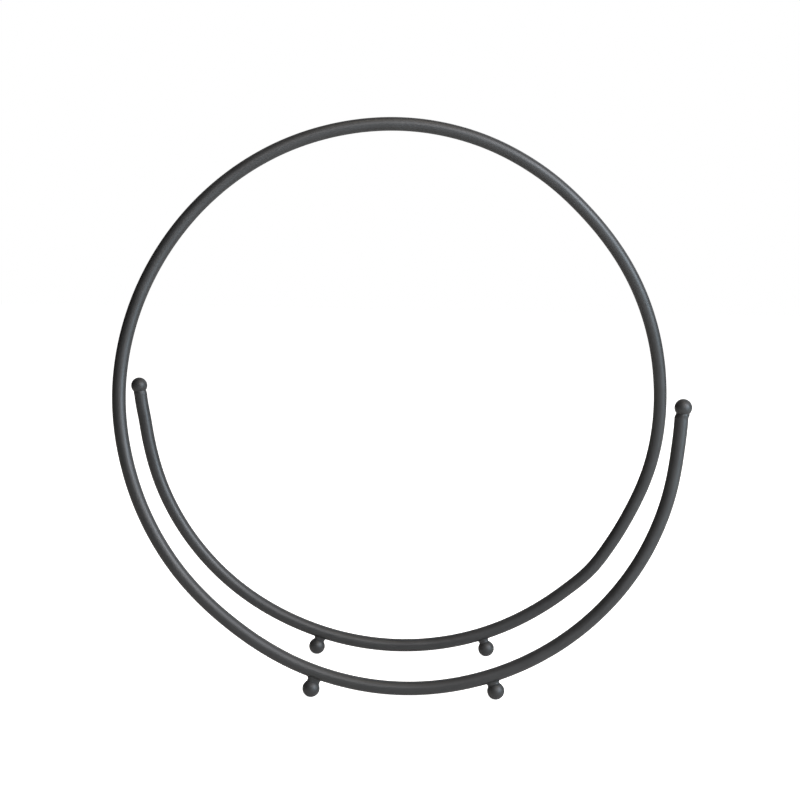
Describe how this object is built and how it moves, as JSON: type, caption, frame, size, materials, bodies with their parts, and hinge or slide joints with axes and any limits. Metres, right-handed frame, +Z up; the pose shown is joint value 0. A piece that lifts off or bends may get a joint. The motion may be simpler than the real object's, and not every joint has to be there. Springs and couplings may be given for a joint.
{
  "type": "plate display stand",
  "caption": "Freestanding round loop of bent rod with two parallel bottom arcs, ball ends and ball feet, holding a plate upright between the arcs.",
  "frame": {"origin": "middle of the footprint, on the surface that the ball feet stand on", "axes": "+Z up, -Y towards the front arc, +X to the right seen from the front"},
  "size_m": [0.3325, 0.107, 0.3335],
  "materials": {
    "powder_coat": "satin graphite powder coat over solid steel, with a very fine texture"
  },
  "bodies": {
    "root": {"hoop_rod": "powder_coat", "front_end_ball": "powder_coat", "front_end_weld": "powder_coat", "rear_end_ball": "powder_coat", "rear_end_weld": "powder_coat", "front_left_foot_ball": "powder_coat", "front_left_foot_weld": "powder_coat", "front_right_foot_ball": "powder_coat", "front_right_foot_weld": "powder_coat", "rear_left_foot_ball": "powder_coat", "rear_left_foot_weld": "powder_coat", "rear_right_foot_ball": "powder_coat", "rear_right_foot_weld": "powder_coat"}
  },
  "joints": []
}
